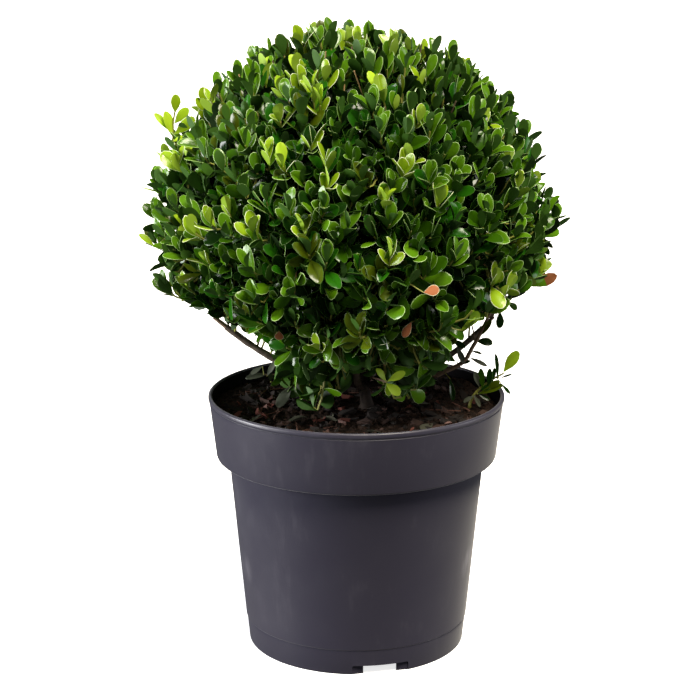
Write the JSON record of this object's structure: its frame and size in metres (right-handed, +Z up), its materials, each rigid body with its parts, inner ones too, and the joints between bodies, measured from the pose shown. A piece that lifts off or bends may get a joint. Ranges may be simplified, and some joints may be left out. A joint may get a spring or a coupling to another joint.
{
  "type": "potted clipped ball shrub",
  "caption": "Evergreen shrub clipped to a ball of small glossy leaves on a short forked trunk, in a round black plastic nursery pot filled with bark-flecked soil.",
  "frame": {"origin": "on the pot's axis, in the plane that the pot's foot stands on", "axes": "+Z up along the pot's axis, -Y towards the viewer of the picture, +X to that viewer's right"},
  "size_m": [0.3026, 0.3033, 0.4819],
  "materials": {
    "pot_plastic": "satin moulded",
    "potting_soil": "rough, damp",
    "bark": "rough",
    "foliage": "waxy gloss"
  },
  "bodies": {
    "root": {"pot": "pot_plastic", "soil": "potting_soil", "trunk": "bark", "bough_left": "bark", "bough_right": "bark", "bough_front": "bark", "bough_back": "bark", "bough_leader": "bark", "foliage_ball": "foliage", "foliage_left": "foliage", "foliage_right": "foliage", "foliage_front": "foliage", "foliage_back": "foliage", "foliage_low_shoot": "foliage"}
  },
  "joints": []
}
